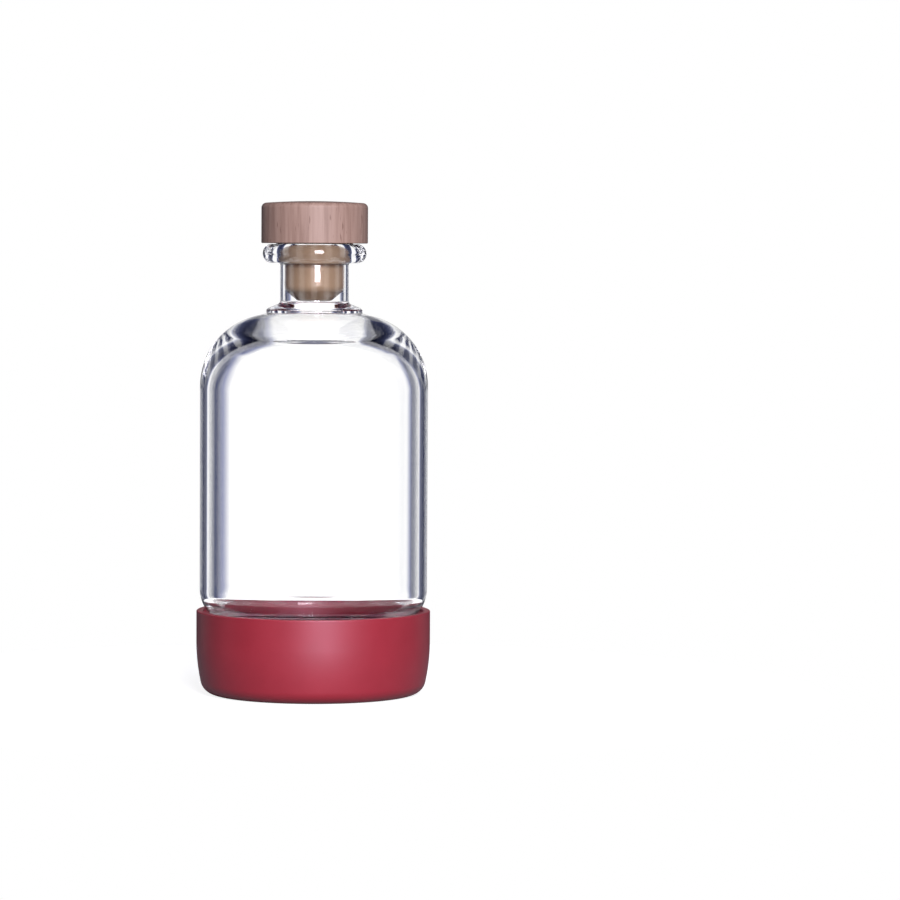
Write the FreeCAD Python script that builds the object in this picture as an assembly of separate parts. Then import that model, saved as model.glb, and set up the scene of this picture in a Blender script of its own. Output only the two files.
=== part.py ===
"""Glass infusion bottle with a beech stopper, standing in a moulded red silicone boot.

Four separate solids, all turned about the Z axis:
  glass_bottle   thick blown glass with a rolled lip, a collar at the root of the neck and a stepped foot
  silicone_boot  open cup with a rounded heel that the foot of the bottle sits in
  stopper_plug   tapered collar, straight shank and blunt nose that close the bore
  stopper_cap    slightly crowned beech disc, fixed on the spigot of the plug

Z = 0 is the flat underside of the boot and X = Y = 0 is the axis.  Millimetres.
"""
import FreeCAD, Part
import math
import os

# ---- glass: outer face
body_radius = 35.1
body_length = 83.8             # from the ledge over the boot up to the corner of the wall and the shoulder
ledge_rise = 2.8               # from the rim of the boot up to the ledge, where the wall turns in to the foot
ledge_width = 3.1              # how far the foot stands in from the wall
ledge_slope = 37.0             # degrees from the vertical
ledge_curve = 12.0
foot_curve = 2.8
heel_curve = 5.0
shoulder_rise = 5.0            # from the corner of the wall and the shoulder up to the collar
shoulder_curve = 22.2
collar_width = 4.25            # how far the collar stands out from the neck
collar_height = 1.4
collar_slope = 23.0            # degrees from the horizontal
collar_edge = 0.9
neck_length = 21.35            # from the foot of the collar to the top of the lip
neck_curve = 1.2
lip_thickness = 5.8
lip_curve = 2.8

# ---- glass: inner face
bore_radius = 9.3
body_wall = 2.7
foot_wall = 4.0
neck_wall = 1.25
lip_wall = 4.05                # from the edge of the mouth to the outside of the lip
floor_thickness = 4.5
shelf_drop = 0.5               # from the ledge down to the same bend of the inner wall
shelf_slope = 62.0             # degrees from the vertical, of the ledge seen from inside
shelf_curve = 6.2
shelf_edge = 2.0
bore_drop = 1.8                # from the foot of the collar down to where the bore opens into the dome
bore_edge = 1.0
dome_width = 8.1               # from the bore out to where the ceiling bends down more steeply
dome_slope = 12.6              # degrees from the horizontal, fall of the ceiling beside the bore
dome_curve = 34.0
haunch_slope = 37.0            # degrees from the horizontal, fall of the ceiling towards the wall
haunch_curve = 17.6
mouth_flare = 2.6              # how much wider the mouth is than the bore
mouth_depth = 6.2
mouth_bulge = 0.75             # how far the flared mouth bulges beyond a plain cone
mouth_curve = 3.5
mouth_edge = 0.4

# ---- stopper
plug_clearance = 0.06          # all round, between the plug and the glass
plug_length = 17.5             # from the top of the lip to the nose
plug_rise = 0.25               # how far the plug stands above the lip, so that the cap clears the glass
nose_taper = 4.1               # how much smaller the flat of the nose is than the bore
nose_chamfer = 3.6
nose_curve = 2.6
spigot_radius = 6.0
spigot_length = 6.5
spigot_edge = 0.4
spigot_clearance = 0.05
cap_overhang = 0.45            # how far the cap stands out past the lip
cap_height = 12.3              # without the crown
cap_crown = 0.65
cap_edge = 1.45
cap_foot_edge = 0.3

# ---- boot
boot_height = 25.8
boot_overhang = 1.0            # how far the boot stands out past the wall of the glass
boot_floor = 3.2               # height of the seat above the table
boot_clearance = 0.1           # all round, between the boot and the glass
rim_wall = 2.1
rim_edge = 0.35
lead_in_depth = 1.0            # upright part of the rim's inner face, above the lead-in
draw_height = 9.9              # corner of the upright wall and the drawn-in wall
draw_slope = 12.3              # degrees from the vertical
draw_curve = 58.4
boot_heel_curve = 4.7
ring_width = 1.6               # flat ring that the boot stands on, inside its heel
ring_recess = 0.8

# ---- places that follow from these sizes
foot_radius = body_radius - ledge_width
neck_radius = bore_radius + neck_wall
collar_radius = neck_radius + collar_width
mouth_radius = bore_radius + mouth_flare
lip_radius = mouth_radius + lip_wall
cap_radius = lip_radius + cap_overhang
boot_radius = body_radius + boot_overhang
ledge_height = boot_height + ledge_rise
shoulder_height = ledge_height + body_length
collar_foot_height = shoulder_height + shoulder_rise
lip_height = collar_foot_height + neck_length


def point(radius, height):
    return FreeCAD.Vector(radius, 0, height)


def rounded_edges(corners):
    """Edges through the corners (radius, height, curve): each corner with a curve becomes a tangent arc."""
    edges = []
    places = [point(radius, height) for radius, height, _ in corners]
    start = places[0]
    for before, corner, after, (_, _, curve) in zip(places, places[1:], places[2:], corners[1:]):
        if not curve:
            edges.append(Part.LineSegment(start, corner).toShape())
            start = corner
            continue
        back = (before - corner).normalize()
        ahead = (after - corner).normalize()
        half_angle = back.getAngle(ahead) / 2
        tangent = curve / math.tan(half_angle)
        middle = (back + ahead).normalize()
        arc_start = corner + back * tangent
        arc_end = corner + ahead * tangent
        arc_middle = corner + middle * (curve / math.sin(half_angle) - curve)
        if (arc_start - start).dot(back) > 1e-6:
            raise ValueError(f"no room for the curve {curve} at {corner.x:.1f}, {corner.z:.1f}")
        if (arc_start - start).Length > 1e-6:
            edges.append(Part.LineSegment(start, arc_start).toShape())
        edges.append(Part.Arc(arc_start, arc_middle, arc_end).toShape())
        start = arc_end
    edges.append(Part.LineSegment(start, places[-1]).toShape())
    return edges


def turned(corners):
    """Solid turned about the axis from an outline whose first and last corners lie on the axis."""
    closing = Part.LineSegment(point(*corners[-1][:2]), point(*corners[0][:2])).toShape()
    face = Part.Face(Part.Wire(rounded_edges(corners) + [closing]))
    return face.revolve(point(0, 0), FreeCAD.Vector(0, 0, 1), 360)


def mouth_outline(clearance=0.0):
    """Corners of the flared mouth from the lip's top down to the bore, moved in by a clearance."""
    foot = lip_height - mouth_depth
    middle_radius = (mouth_radius + bore_radius) / 2 + mouth_bulge
    middle_height = lip_height - mouth_depth / 2
    return [
        (mouth_radius - clearance, lip_height, mouth_edge),
        (middle_radius - clearance, middle_height, mouth_curve),
        (bore_radius - clearance, foot, 0),
    ]


def slope_run(rise, slope):
    """How far a face at a slope from the vertical moves sideways over a rise."""
    return rise * math.tan(math.radians(slope))


def foot_corner_height():
    """Where the sloped ledge of the glass meets its upright foot."""
    return ledge_height - slope_run(body_radius - foot_radius, 90 - ledge_slope)


def glass_bottle():
    """Thick blown bottle: outer face from the foot up to the lip, then the inner face back down."""
    foot = boot_floor + boot_clearance
    collar_top = collar_foot_height + collar_height
    neck_foot = collar_top + slope_run(collar_radius - neck_radius, collar_slope)
    lip_foot = lip_height - lip_thickness
    outer = [
        (0, foot, 0),
        (foot_radius, foot, heel_curve),
        (foot_radius, foot_corner_height(), foot_curve),
        (body_radius, ledge_height, ledge_curve),
        (body_radius, shoulder_height, shoulder_curve),
        (collar_radius, collar_foot_height, 0),
        (collar_radius, collar_top, collar_edge),
        (neck_radius, neck_foot, neck_curve),
        (neck_radius, lip_foot, neck_curve / 2),
        (lip_radius, lip_foot, lip_curve),
        (lip_radius, lip_height, lip_curve),
    ]
    cavity_radius = body_radius - body_wall
    chamber_radius = foot_radius - foot_wall
    shelf_height = ledge_height - shelf_drop
    bore_foot = collar_foot_height - bore_drop
    dome_radius = bore_radius + dome_width
    dome_corner = bore_foot - slope_run(dome_width, dome_slope)
    haunch_corner = dome_corner - slope_run(cavity_radius - dome_radius, haunch_slope)
    shelf_foot = shelf_height - slope_run(cavity_radius - chamber_radius, 90 - shelf_slope)
    inner = [
        (bore_radius, bore_foot, bore_edge),
        (dome_radius, dome_corner, dome_curve),
        (cavity_radius, haunch_corner, haunch_curve),
        (cavity_radius, shelf_height, shelf_curve),
        (chamber_radius, shelf_foot, shelf_edge),
        (chamber_radius, foot + floor_thickness, heel_curve / 2),
        (0, foot + floor_thickness, 0),
    ]
    return turned(outer + mouth_outline() + inner)


def silicone_boot():
    """Open cup: a flat ring to stand on, a rounded heel, a wall that draws in, a thin rim with a lead-in."""
    seat_radius = foot_radius + boot_clearance
    rim_radius = boot_radius - rim_wall
    side_foot = boot_radius - slope_run(draw_height, draw_slope)
    ring_edge = side_foot - boot_heel_curve - ring_width
    lead_in_top = boot_height - lead_in_depth
    lead_in_foot = lead_in_top - slope_run(rim_radius - seat_radius, 90 - ledge_slope)
    return turned([
        (0, ring_recess, 0),
        (ring_edge - ring_recess, ring_recess, 0),
        (ring_edge, 0, 0),
        (side_foot, 0, boot_heel_curve),
        (boot_radius, draw_height, draw_curve),
        (boot_radius, boot_height, rim_edge),
        (rim_radius, boot_height, rim_edge),
        (rim_radius, lead_in_top, rim_edge),
        (seat_radius, lead_in_foot, rim_edge),
        (seat_radius, boot_floor, heel_curve + boot_clearance),
        (0, boot_floor, 0),
    ])


def stopper_plug():
    """Tapered collar that fills the mouth, shank in the bore, blunt nose, and a spigot up into the cap."""
    top = lip_height + plug_rise
    nose = lip_height - plug_length
    (collar_top_radius, *_), *collar = mouth_outline(plug_clearance)
    return turned([
        (0, top + spigot_length, 0),
        (spigot_radius, top + spigot_length, spigot_edge),
        (spigot_radius, top, 0),
        (collar_top_radius, top, 0),
        *collar,
        (bore_radius - plug_clearance, nose + nose_chamfer, nose_curve),
        (bore_radius - nose_taper, nose, nose_curve),
        (0, nose, 0),
    ])


def stopper_cap():
    """Beech disc: turned blank, crowned by a large sphere, bored for the spigot, its top edge softened."""
    foot = lip_height + plug_rise
    top = foot + cap_height + cap_crown
    blank = turned([
        (0, foot, 0),
        (cap_radius, foot, cap_foot_edge),
        (cap_radius, top, 0),
        (0, top, 0),
    ])
    crown_radius = (cap_radius ** 2 + cap_crown ** 2) / (2 * cap_crown)
    crown = Part.makeSphere(crown_radius, point(0, top - crown_radius))
    socket_depth = spigot_length + spigot_clearance
    socket = Part.makeCylinder(spigot_radius + spigot_clearance, socket_depth, point(0, foot))
    cap = blank.common(crown).cut(socket)
    top_edges = [edge for edge in cap.Edges
                 if edge.CenterOfMass.z > foot + cap_height / 2 and edge.BoundBox.XMax > cap_radius / 2]
    return cap.makeFillet(cap_edge, top_edges).Solids[0]


os.makedirs("parts", exist_ok=True)
pieces = {
    "glass_bottle": glass_bottle(),
    "silicone_boot": silicone_boot(),
    "stopper_plug": stopper_plug(),
    "stopper_cap": stopper_cap(),
}
for name, shape in pieces.items():
    shape.exportStep(f"parts/{name}.step")
    print(name, "valid" if shape.isValid() else "NOT VALID", "volume", round(shape.Volume), "mm3")
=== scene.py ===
"""A clear glass infusion bottle with a beech stopper, standing in a red silicone boot.

The sections follow the way the bottle is put together: boot, glass, plug, cap, and then the setting.
Each piece is turned about the Z axis. Its outline is a list of corners (radius, height, curve) in
millimetres, from the axis and the table, and a corner with a curve is rounded to that radius.
"""
import math

import bpy
import numpy as np
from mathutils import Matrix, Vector


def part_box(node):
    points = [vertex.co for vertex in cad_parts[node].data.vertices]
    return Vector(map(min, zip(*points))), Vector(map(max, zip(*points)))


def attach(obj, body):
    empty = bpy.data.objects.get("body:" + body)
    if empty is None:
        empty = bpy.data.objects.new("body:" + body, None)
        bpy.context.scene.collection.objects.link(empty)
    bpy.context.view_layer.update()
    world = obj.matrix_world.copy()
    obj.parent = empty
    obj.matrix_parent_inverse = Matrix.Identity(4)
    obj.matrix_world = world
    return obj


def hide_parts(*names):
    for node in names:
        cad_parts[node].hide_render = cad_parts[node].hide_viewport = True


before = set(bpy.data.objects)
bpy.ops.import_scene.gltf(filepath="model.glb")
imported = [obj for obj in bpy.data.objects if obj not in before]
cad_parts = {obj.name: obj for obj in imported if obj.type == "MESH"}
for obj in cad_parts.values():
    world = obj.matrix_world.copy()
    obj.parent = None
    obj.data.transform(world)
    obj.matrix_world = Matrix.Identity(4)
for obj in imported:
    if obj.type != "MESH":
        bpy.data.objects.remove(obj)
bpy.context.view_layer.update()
MM = 0.001


# ---- Silicone boot
# An open cup moulded in soft matte crimson silicone. The wall stands upright, draws in below and
# ends in a rounded heel; inside the thin rim a short lead-in guides the foot of the glass.

def box_in_mm(node):
    """Lowest and highest corner of a CAD node, in millimetres."""
    low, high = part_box(node)
    return low / MM, high / MM


def slope_run(rise, slope):
    """How far a face at a slope from the vertical moves sideways over a rise."""
    return rise * math.tan(math.radians(slope))


def rounded_outline(corners, arc_step=3.0, short_run=0.15):
    """Points of an outline as complex numbers, radius + height i, from corners (radius, height, curve).

    The outline turns at a corner by the angle between its runs. An arc of the curve's radius starts at
    curve * tan(half that angle) before the corner, and its centre lies a radius to the side that the
    outline turns to. Each straight run gets a point just inside both ends, to keep its shading flat.
    """
    place = np.array([complex(radius, height) for radius, height, _ in corners])
    curve = np.array([corner[2] for corner in corners[1:-1]])
    run = np.diff(place) / abs(np.diff(place))
    turn = np.angle(run[1:] / run[:-1])
    start = place[1:-1] - run[:-1] * curve * np.tan(abs(turn) / 2)
    centre = start + 1j * run[:-1] * curve * np.sign(turn)
    points = [place[:1]]
    for first, middle, bend, radius in zip(start, centre, turn, curve):
        steps = 1 + math.ceil(abs(math.degrees(bend)) / arc_step) * (radius > 0)
        arc = middle + (first - middle) * np.exp(1j * np.linspace(0, bend, steps)) if radius else first
        points += [straight_ends(points[-1][-1], first, short_run), np.atleast_1d(arc)]
    points += [straight_ends(points[-1][-1], place[-1], short_run), place[-1:]]
    return np.concatenate(points)


def straight_ends(start, end, short_run):
    """The two points just inside the ends of a straight run, or none if it is too short for them."""
    along = (end - start) / max(abs(end - start), 1e-9) * short_run
    return np.array([start + along, end - along]) if abs(end - start) > 3 * short_run else np.array([])


def turned(name, outline, around=240):
    """Closed surface turned about Z from an outline that starts and ends on the axis.

    The outline's point (r, z) at the angle a stands at (r cos a, r sin a, z). Rings of quads join
    neighbouring points, and a fan of triangles closes each end at the axis.
    """
    angle = np.arange(around) * math.tau / around
    ring = outline[1:-1]
    sides = np.stack([np.outer(ring.real, np.cos(angle)),
                      np.outer(ring.real, np.sin(angle)),
                      np.outer(ring.imag, np.ones(around))], axis=-1).reshape(-1, 3)
    poles = np.array([[0, 0, outline[0].imag], [0, 0, outline[-1].imag]])
    number = np.arange(len(sides)).reshape(ring.size, around)
    beside = np.roll(number, -1, axis=1)
    quads = np.stack([number[:-1], beside[:-1], beside[1:], number[1:]], axis=-1).reshape(-1, 4)
    low_fan = np.stack([np.full(around, len(sides)), beside[0], number[0]], axis=-1)
    high_fan = np.stack([np.full(around, len(sides) + 1), number[-1], beside[-1]], axis=-1)
    mesh = bpy.data.meshes.new(name)
    mesh.from_pydata((np.concatenate([sides, poles]) * MM).tolist(), [],
                     quads.tolist() + low_fan.tolist() + high_fan.tolist())
    mesh.shade_smooth()
    piece = bpy.data.objects.new(name, mesh)
    bpy.context.scene.collection.objects.link(piece)
    return piece


def new_node(tree, kind, inputs=None, **settings):
    """New shader node with its settings; an input given as a socket is linked, a plain value is set."""
    made = tree.nodes.new(kind)
    for name, value in settings.items():
        setattr(made, name, value)
    for name, value in (inputs or {}).items():
        if isinstance(value, bpy.types.NodeSocket):
            tree.links.new(value, made.inputs[name])
        else:
            made.inputs[name].default_value = value
    return made


def new_material(name, colour, **sockets):
    """Material, its node tree and its shader, with plain values on the shader's own sockets."""
    material = bpy.data.materials.new(name)
    material.use_nodes = True
    shader = material.node_tree.nodes["Principled BSDF"]
    shader.inputs["Base Color"].default_value = (*colour, 1)
    for socket, value in sockets.items():
        shader.inputs[socket.replace("_", " ")].default_value = value
    return material, material.node_tree, shader


def mottle(tree, scale, stretch=(1, 1, 1), detail=3.0):
    """Noise on object coordinates: scale is in patches per metre, stretch multiplies it along each axis."""
    place = new_node(tree, "ShaderNodeTexCoord").outputs["Object"]
    spread = new_node(tree, "ShaderNodeMapping", {"Vector": place, "Scale": stretch})
    return new_node(tree, "ShaderNodeTexNoise",
                    {"Vector": spread.outputs[0], "Scale": scale, "Detail": detail}).outputs["Fac"]


def tinted(tree, amount, stops):
    """Colour ramp over an amount; stops are (position, colour)."""
    ramp = new_node(tree, "ShaderNodeValToRGB", {"Fac": amount})
    elements = ramp.color_ramp.elements
    for _ in stops[2:]:
        elements.new(0.5)
    for element, (position, colour) in zip(elements, stops):
        element.position = position
        element.color = (*colour, 1)
    return ramp.outputs["Color"]


def relief(tree, shader, height, depth):
    """Bump on a shader from a height between 0 and 1; depth is in metres."""
    bump = new_node(tree, "ShaderNodeBump", {"Height": height, "Distance": depth, "Strength": 1.0})
    tree.links.new(bump.outputs[0], shader.inputs["Normal"])


def boot_outline():
    """Ring to stand on, heel, drawn-in wall, rim, lead-in and seat."""
    low, high = box_in_mm("silicone_boot")
    radius = high.x
    rim_wall = 2.1
    rim_edge = 0.35
    seat_radius = 32.1
    seat_height = 3.2
    seat_curve = 5.1
    draw_height = 9.9
    draw_slope = 12.3
    draw_curve = 58.4
    side_foot = radius - slope_run(draw_height, draw_slope)
    heel_curve = 4.7
    ring_width = 1.6
    ring_edge = side_foot - heel_curve - ring_width
    recess = 0.8
    lead_in_top = high.z - 1.0
    lead_in_slope = 37
    lead_in_foot = lead_in_top - slope_run(radius - rim_wall - seat_radius, 90 - lead_in_slope)
    return rounded_outline([
        (0, recess, 0),
        (ring_edge - recess, recess, 0),
        (ring_edge, low.z, 0),
        (side_foot, low.z, heel_curve),
        (radius, draw_height, draw_curve),
        (radius, high.z, rim_edge),
        (radius - rim_wall, high.z, rim_edge),
        (radius - rim_wall, lead_in_top, rim_edge),
        (seat_radius, lead_in_foot, rim_edge),
        (seat_radius, seat_height, seat_curve),
        (0, seat_height, 0),
    ])


def crimson_silicone():
    """Matte crimson with a faint mottle, a fine moulded grain and a soft, cool sheen."""
    material, tree, shader = new_material("crimson_silicone", (0.305, 0.013, 0.025), Roughness=0.45,
                                          Specular_IOR_Level=0.95)
    tone = tinted(tree, mottle(tree, 90), [(0.3, (0.29, 0.012, 0.023)), (0.7, (0.32, 0.015, 0.028))])
    tree.links.new(tone, shader.inputs["Base Color"])
    shader.inputs["Specular Tint"].default_value = (0.95, 0.85, 1, 1)
    relief(tree, shader, mottle(tree, 3500, detail=2), 0.00001)
    return material


boot = turned("boot", boot_outline())
boot.data.materials.append(crimson_silicone())
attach(boot, "root")
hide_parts("silicone_boot")


# ---- Glass bottle
# Thick clear blown glass: a stepped foot that sits in the boot, a plain wall, heavy rounded
# shoulders, a collar at the root of the neck, a ground bore and a rolled lip.

def mouth_corners(lip_height, gap=0.0):
    """Corners of the flared mouth, from the top of the lip down to the bore, moved in by a gap."""
    mouth_radius = 11.9
    mouth_edge = 0.4
    mouth_curve = 3.5
    bore_radius = 9.3
    depth = 6.2
    bulge = 0.75
    return [
        (mouth_radius - gap, lip_height, mouth_edge),
        ((mouth_radius + bore_radius) / 2 + bulge - gap, lip_height - depth / 2, mouth_curve),
        (bore_radius - gap, lip_height - depth, 0),
    ]


def glass_outline():
    """Outer face from the foot up to the lip, then the inner face from the mouth down to the floor."""
    low, high = box_in_mm("glass_bottle")
    radius = high.x
    foot_radius = 32.0
    heel_curve = 5.0
    ledge_height = 28.6
    ledge_slope = 37
    ledge_curve = 12.0
    foot_corner = ledge_height - slope_run(radius - foot_radius, 90 - ledge_slope)
    foot_curve = 2.8
    shoulder_height = 112.4
    shoulder_curve = 22.2
    collar_radius = 14.8
    collar_foot = 117.4
    collar_top = collar_foot + 1.4
    collar_slope = 23
    collar_edge = 0.9
    neck_radius = 10.55
    neck_foot = collar_top + slope_run(collar_radius - neck_radius, collar_slope)
    neck_curve = 1.2
    lip_radius = 15.95
    lip_foot = high.z - 5.8
    lip_curve = 2.8
    outer = [
        (0, low.z, 0),
        (foot_radius, low.z, heel_curve),
        (foot_radius, foot_corner, foot_curve),
        (radius, ledge_height, ledge_curve),
        (radius, shoulder_height, shoulder_curve),
        (collar_radius, collar_foot, 0),
        (collar_radius, collar_top, collar_edge),
        (neck_radius, neck_foot, neck_curve),
        (neck_radius, lip_foot, neck_curve / 2),
        (lip_radius, lip_foot, lip_curve),
        (lip_radius, high.z, lip_curve),
    ]
    cavity_radius = radius - 2.7
    chamber_radius = foot_radius - 4.0
    bore_radius = 9.3
    bore_foot = high.z - 23.15
    bore_edge = 1.0
    dome_radius = 17.4
    dome_slope = 12.6
    dome_curve = 34.0
    dome_corner = bore_foot - slope_run(dome_radius - bore_radius, dome_slope)
    haunch_slope = 37
    haunch_curve = 17.6
    haunch_corner = dome_corner - slope_run(cavity_radius - dome_radius, haunch_slope)
    shelf_height = 28.1
    shelf_slope = 62
    shelf_curve = 6.2
    shelf_foot = shelf_height - slope_run(cavity_radius - chamber_radius, 90 - shelf_slope)
    shelf_edge = 2.0
    floor_top = low.z + 4.5
    inner = [
        (bore_radius, bore_foot, bore_edge),
        (dome_radius, dome_corner, dome_curve),
        (cavity_radius, haunch_corner, haunch_curve),
        (cavity_radius, shelf_height, shelf_curve),
        (chamber_radius, shelf_foot, shelf_edge),
        (chamber_radius, floor_top, heel_curve / 2),
        (0, floor_top, 0),
    ]
    return rounded_outline(outer + mouth_corners(high.z) + inner)


def clear_glass():
    """Colourless glass that refracts; a lamp's light passes straight through it, a little weaker."""
    material, tree, shader = new_material("clear_glass", (1, 1, 1), Roughness=0.0, IOR=1.47,
                                          Transmission_Weight=1.0)
    is_shadow = new_node(tree, "ShaderNodeLightPath").outputs["Is Shadow Ray"]
    light_kept = (0.78, 0.78, 0.8, 1)
    open_way = new_node(tree, "ShaderNodeBsdfTransparent", {"Color": light_kept}).outputs[0]
    mixed = new_node(tree, "ShaderNodeMixShader", {0: is_shadow, 1: shader.outputs[0], 2: open_way})
    tree.links.new(mixed.outputs[0], tree.nodes["Material Output"].inputs["Surface"])
    return material


bottle = turned("bottle", glass_outline(), around=224)
bottle.data.materials.append(clear_glass())
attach(bottle, "root")
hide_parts("glass_bottle")


# ---- Stopper plug
# A solid beige polymer plug with a satin skin. Its collar fills the flared mouth, its shank the
# bore, and a spigot on top carries the cap.

def plug_outline():
    """Blunt nose, shank, flared collar and spigot."""
    low, high = box_in_mm("stopper_plug")
    lip_height = box_in_mm("glass_bottle")[1].z
    gap = 0.06
    spigot_radius = 6.0
    spigot_edge = 0.4
    collar_top = lip_height + 0.25
    (top_radius, *_), *collar = mouth_corners(lip_height, gap)
    shank_radius = collar[-1][0]
    nose_radius = 5.2
    nose_chamfer = 3.6
    nose_curve = 2.6
    return rounded_outline([
        (0, low.z, 0),
        (nose_radius, low.z, nose_curve),
        (shank_radius, low.z + nose_chamfer, nose_curve),
        *reversed(collar),
        (top_radius, collar_top, 0),
        (spigot_radius, collar_top, 0),
        (spigot_radius, high.z, spigot_edge),
        (0, high.z, 0),
    ])


def beige_polymer(crease_height, crease_width=1.3):
    """Satin beige polymer with a slight cloudy tone, and painted shade darkening the crease below the collar.

    The painted shade fades out with the distance from the crease's height, over the crease's width.
    """
    material, tree, shader = new_material("beige_polymer", (0.48, 0.32, 0.19), Roughness=0.32)
    tone = tinted(tree, mottle(tree, 160), [(0.3, (0.46, 0.305, 0.178)), (0.7, (0.50, 0.335, 0.203))])
    place = new_node(tree, "ShaderNodeTexCoord").outputs["Object"]
    height = new_node(tree, "ShaderNodeSeparateXYZ", {0: place}).outputs["Z"]
    above = new_node(tree, "ShaderNodeMath", {0: height, 1: -crease_height * MM}, operation="ADD")
    away = new_node(tree, "ShaderNodeMath", {0: above.outputs[0]}, operation="ABSOLUTE")
    share = new_node(tree, "ShaderNodeMath", {0: away.outputs[0], 1: 1 / (crease_width * MM)},
                     operation="MULTIPLY")
    # Painted shade: a dark brown band at the crease's height, multiplied into the plug's colour where the
    # collar meets the shank.
    painted_crease_shade = tinted(tree, share.outputs[0], [(0.1, (0.25, 0.18, 0.15)), (1, (1, 1, 1))])
    whole = new_node(tree, "ShaderNodeMix", {"Factor": 1.0, 6: tone, 7: painted_crease_shade}, data_type="RGBA",
                     blend_type="MULTIPLY")
    tree.links.new(whole.outputs[2], shader.inputs["Base Color"])
    relief(tree, shader, mottle(tree, 900, detail=2), 0.00001)
    return material


plug = turned("plug", plug_outline(), around=160)
mouth_foot = mouth_corners(box_in_mm("glass_bottle")[1].z)[-1][1]
# The plug's colour gets painted shade at the foot of the mouth, where the collar meets the shank.
plug.data.materials.append(beige_polymer(mouth_foot))
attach(plug, "root")
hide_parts("stopper_plug")


# ---- Beech cap
# A slightly crowned disc turned from steamed beech, with the grain upright, bored for the spigot of
# the plug and left unvarnished. Its top edge is softened.

def cap_outline():
    """Bored underside, sharp foot, upright side, softened edge and crown.

    The points above the softened edge are raised by a large sphere's height over its rim:
    the crown plus the root of (sphere radius squared less radius squared), less the sphere radius.
    """
    low, high = box_in_mm("stopper_cap")
    radius = high.x
    socket_radius = 6.05
    socket_top = low.z + 6.55
    crown = 0.65
    sphere_radius = (radius ** 2 + crown ** 2) / (2 * crown)
    foot_edge = 0.3
    edge = 1.45
    outline = rounded_outline([
        (0, socket_top, 0),
        (socket_radius, socket_top, 0),
        (socket_radius, low.z, 0),
        (radius, low.z, foot_edge),
        (radius, high.z - crown, edge),
        *[(radius * share, high.z - crown, 0) for share in (0.8, 0.6, 0.4, 0.2)],
        (0, high.z - crown, 0),
    ])
    top = outline.imag > high.z - crown - edge
    rise = np.where(top, sphere_radius * (np.sqrt(1 - (outline.real / sphere_radius) ** 2) - 1) + crown, 0)
    return outline + 1j * rise


def steamed_beech():
    """Pinkish beech: upright bands of tone, fine upright grain and short dark flecks."""
    material, tree, shader = new_material("steamed_beech", (0.30, 0.195, 0.155), Roughness=0.58)
    bands = mottle(tree, 110, (1, 1, 0.08))
    fibre = mottle(tree, 900, (1, 1, 0.05), 4)
    flecks = mottle(tree, 1500, (1, 1, 0.16), 1)
    tone = tinted(tree, bands, [(0.3, (0.26, 0.165, 0.13)), (0.7, (0.35, 0.232, 0.185))])
    grain = tinted(tree, fibre, [(0.35, (0.78, 0.74, 0.72)), (0.6, (1, 1, 1))])
    dashes = tinted(tree, flecks, [(0.27, (0.62, 0.55, 0.52)), (0.34, (1, 1, 1))])
    mixed = new_node(tree, "ShaderNodeMix", {"Factor": 1.0, 6: tone, 7: grain}, data_type="RGBA",
                     blend_type="MULTIPLY")
    whole = new_node(tree, "ShaderNodeMix", {"Factor": 1.0, 6: mixed.outputs[2], 7: dashes},
                     data_type="RGBA", blend_type="MULTIPLY")
    tree.links.new(whole.outputs[2], shader.inputs["Base Color"])
    relief(tree, shader, fibre, 0.00006)
    return material


cap = turned("cap", cap_outline(), around=200)
cap.data.materials.append(steamed_beech())
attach(cap, "root")
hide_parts("stopper_cap")


# ---- Setting
# A small pale floor, a white surround with darker upright panels that glass and gloss pick up, one
# soft lamp in front, and the camera.

def pale_floor(radius):
    """Round floor, a tenth of a millimetre below the boot, that keeps the boot's shadow.

    It glows nearly white to the camera and somewhat brighter through glass, and its lit colour adds
    the rest where nothing shades it. Light that scatters onto the pieces meets it at a darker grey.
    """
    pale = (0.45, 0.45, 0.45)
    material, tree, shader = new_material("pale_floor", pale, Roughness=0.9)
    path = new_node(tree, "ShaderNodeLightPath").outputs
    shade = tinted(tree, path["Is Diffuse Ray"], [(0, pale), (1, (0.1, 0.1, 0.1))])
    tree.links.new(shade, shader.inputs["Base Color"])
    through_glass = 1.7
    seen = new_node(tree, "ShaderNodeMath", {0: path["Is Transmission Ray"], 1: through_glass,
                                             2: path["Is Camera Ray"]}, operation="MULTIPLY_ADD")
    glow = new_node(tree, "ShaderNodeEmission", {"Color": (0.87, 0.87, 0.87, 1), "Strength": seen.outputs[0]})
    both = new_node(tree, "ShaderNodeAddShader", {0: shader.outputs[0], 1: glow.outputs[0]})
    tree.links.new(both.outputs[0], tree.nodes["Material Output"].inputs["Surface"])
    around = 96
    drop = 0.1 * MM
    angle = np.arange(around) * math.tau / around
    edge = np.stack([radius * np.cos(angle), radius * np.sin(angle), 0 * angle - drop], axis=-1)
    mesh = bpy.data.meshes.new("floor")
    mesh.from_pydata(edge.tolist(), [], [list(range(around))])
    mesh.materials.append(material)
    made = bpy.data.objects.new("floor", mesh)
    bpy.context.scene.collection.objects.link(made)
    return made


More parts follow.
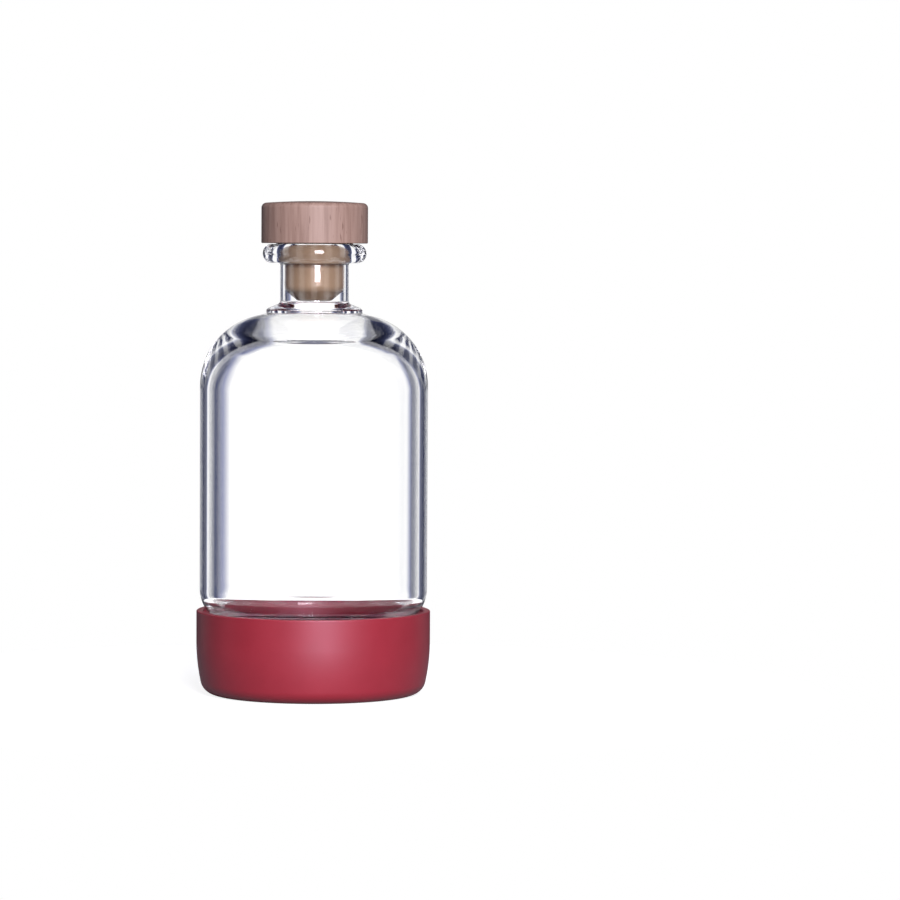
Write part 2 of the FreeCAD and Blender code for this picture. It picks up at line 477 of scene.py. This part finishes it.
def surround():
    """World light, chosen by the kind of ray that meets it.

    The camera sees plain white and the pieces are lit at a plain low level. Glass shows a white room
    with a darker upright panel every 45 degrees, under a dark ceiling, and gloss shows it dimmed.
    A panel's tone follows the share of its 45 degrees, and its stops are given in degrees.
    """
    world = bpy.data.worlds.new("surround")
    world.use_nodes = True
    bpy.context.scene.world = world
    tree = world.node_tree
    tree.nodes.clear()
    direction = new_node(tree, "ShaderNodeTexCoord").outputs["Generated"]
    axes = new_node(tree, "ShaderNodeSeparateXYZ", {0: direction}).outputs
    panels_around = 8
    angle = new_node(tree, "ShaderNodeMath", {0: axes["X"], 1: axes["Y"]}, operation="ARCTAN2")
    panel = new_node(tree, "ShaderNodeMath", {0: angle.outputs[0], 1: panels_around / math.tau, 2: 0.5},
                     operation="MULTIPLY_ADD")
    share = new_node(tree, "ShaderNodeMath", {0: panel.outputs[0]}, operation="FRACT").outputs[0]
    dark = (0.022, 0.025, 0.052)
    dusk = (0.060, 0.070, 0.135)
    haze = (0.27, 0.29, 0.45)
    white = (1, 1, 1)
    degrees = [(-22.5, dark), (-11.2, dusk), (-8.7, haze), (-6.5, white), (9.6, white), (11.6, haze),
               (13.0, dusk), (22.5, dark)]
    around = tinted(tree, share, [(0.5 + at * panels_around / 360, colour) for at, colour in degrees])
    ceiling = tinted(tree, axes["Z"], [(0.35, white), (0.6, dusk)])
    room = new_node(tree, "ShaderNodeMix", {"Factor": 1.0, 6: around, 7: ceiling}, data_type="RGBA",
                    blend_type="MULTIPLY").outputs[2]
    path = new_node(tree, "ShaderNodeLightPath").outputs
    light = new_node(tree, "ShaderNodeBackground", {"Color": (0.9, 0.9, 1.2, 1), "Strength": 0.14})
    for ray, colour, strength in [("Is Glossy Ray", room, 0.45),
                                  ("Is Transmission Ray", room, 1.2),
                                  ("Is Camera Ray", (*white, 1), 1.0)]:
        shown = new_node(tree, "ShaderNodeBackground", {"Color": colour, "Strength": strength})
        light = new_node(tree, "ShaderNodeMixShader",
                         {0: path[ray], 1: light.outputs[0], 2: shown.outputs[0]})
    new_node(tree, "ShaderNodeOutputWorld", {"Surface": light.outputs[0]})


def soft_lamp(name, place, aim, width, height, power):
    """Rectangular lamp at a place, turned to an aim."""
    lamp = bpy.data.lights.new(name, "AREA")
    lamp.shape = "RECTANGLE"
    lamp.size = width
    lamp.size_y = height
    lamp.energy = power
    lamp.color = (1, 0.97, 1.06)
    holder = bpy.data.objects.new(name, lamp)
    holder.location = place
    holder.rotation_euler = (Vector(aim) - Vector(place)).to_track_quat("-Z", "Y").to_euler()
    bpy.context.scene.collection.objects.link(holder)


def camera(distance, eye_height, drop, turn, roll, lens):
    """Camera in front of the axis, looking down by drop, to the right by turn, rolled by roll, in degrees."""
    data = bpy.data.cameras.new("camera")
    data.lens = lens
    data.sensor_width = 36
    holder = bpy.data.objects.new("camera", data)
    holder.location = (0, -distance, eye_height)
    holder.rotation_euler = (math.radians(90 - drop), math.radians(roll), math.radians(-turn))
    bpy.context.scene.collection.objects.link(holder)
    bpy.context.scene.camera = holder


pale_floor(0.16)
surround()
soft_lamp("front_lamp", place=(0.13, -0.72, 0.354), aim=(0, 0, 0.07), width=0.26, height=0.5, power=9.6)
camera(distance=1.2336, eye_height=0.1365, drop=2.832, turn=1.936, roll=-0.3, lens=160)
bpy.context.scene.view_settings.view_transform = "Standard"
light_paths = bpy.context.scene.cycles
light_paths.max_bounces = 32
light_paths.transmission_bounces = 24
light_paths.glossy_bounces = 24
light_paths.caustics_reflective = False
light_paths.caustics_refractive = False
